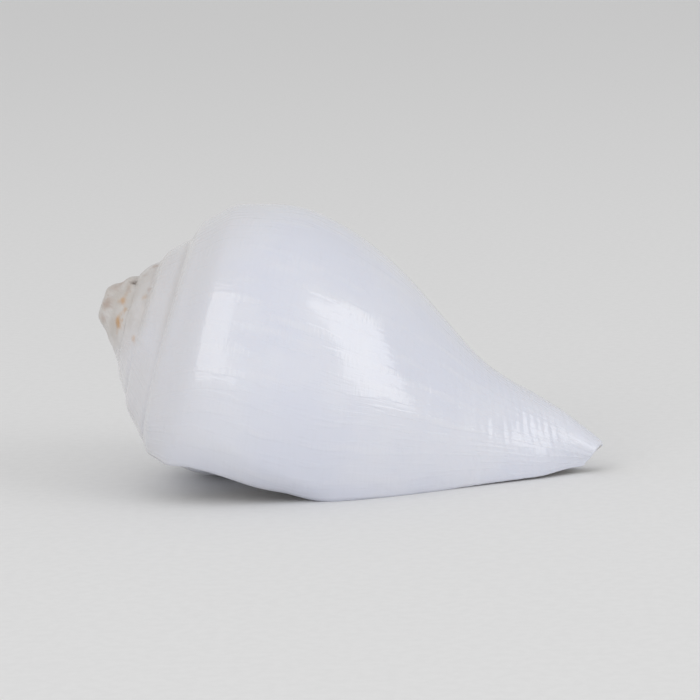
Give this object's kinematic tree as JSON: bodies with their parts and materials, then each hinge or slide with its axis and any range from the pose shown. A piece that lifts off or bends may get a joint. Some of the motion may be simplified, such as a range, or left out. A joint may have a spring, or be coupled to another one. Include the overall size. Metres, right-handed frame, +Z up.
{
  "type": "conch shell",
  "caption": "Polished white conch shell with a low worn spire, a swollen last whorl, an open mouth and a tapering canal, lying on its mouth.",
  "frame": {"origin": "centre of the bounding box in plan, on the ground that the shell lies on", "axes": "+X along the shell from the spire to the canal's tip, +Z up; the mouth faces down and the lip is on the -Y side"},
  "size_m": [0.1268, 0.0808, 0.0701],
  "materials": {
    "shell_white": "polished gloss"
  },
  "bodies": {
    "root": {"shell": "shell_white"}
  },
  "joints": []
}
